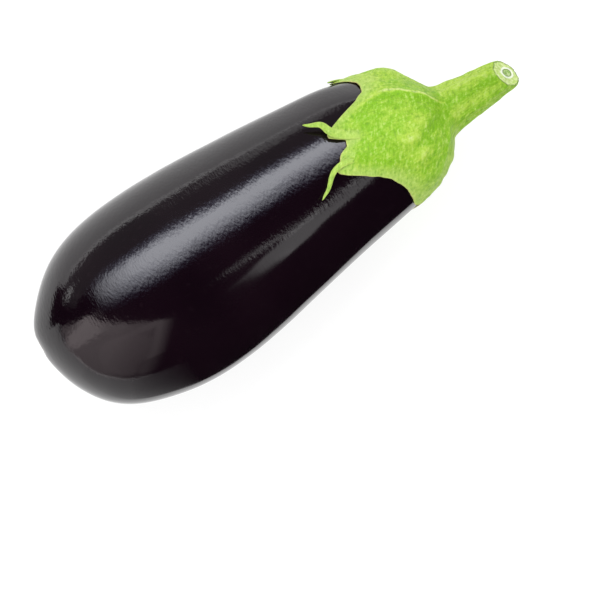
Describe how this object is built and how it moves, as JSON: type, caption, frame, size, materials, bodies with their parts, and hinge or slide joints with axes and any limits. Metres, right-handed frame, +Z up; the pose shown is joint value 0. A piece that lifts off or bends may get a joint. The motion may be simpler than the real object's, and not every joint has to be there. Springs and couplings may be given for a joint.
{
  "type": "eggplant",
  "caption": "whole ripe eggplant lying on its side, with a green calyx whose sepals end in curled horns and a cut stem that bends up; food or kitchen prop",
  "frame": {"origin": "on the surface that the fruit rests on, under the middle of the bounding box", "axes": "X along the length, blossom end at -X and cut stem at +X; +Z up; Y across"},
  "size_m": [0.2122, 0.081, 0.0775],
  "materials": {
    "skin": "glossy purple-black skin with fine pores",
    "calyx": "matte yellow-green, veined, with a pale cut end"
  },
  "bodies": {
    "root": {"fruit": "skin", "calyx_and_stem": "calyx"}
  },
  "joints": []
}
